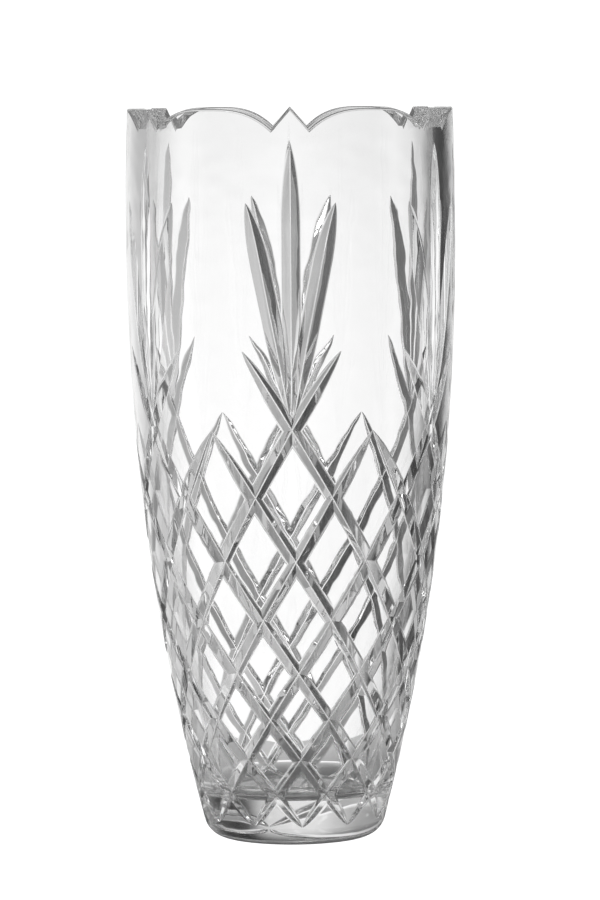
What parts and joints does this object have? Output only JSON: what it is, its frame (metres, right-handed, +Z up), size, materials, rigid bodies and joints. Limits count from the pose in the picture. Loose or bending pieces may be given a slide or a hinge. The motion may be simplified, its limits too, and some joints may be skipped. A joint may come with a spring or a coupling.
{
  "type": "cut crystal vase",
  "caption": "Tall barrel-shaped cut crystal vase with a net of V cuts, fans of leaf cuts and a scalloped, toothed rim, for holding cut flowers.",
  "frame": {"origin": "centre of the base, on the surface that the vase stands on", "axes": "+Z up along the vase's axis, towards the rim; a fan of leaf cuts and a tooth of the rim face -Y"},
  "size_m": [0.1374, 0.137, 0.305],
  "materials": {
    "crystal": "clear lead crystal, polished, with polished V cuts"
  },
  "bodies": {
    "root": {"vase_body": "crystal"}
  },
  "joints": []
}
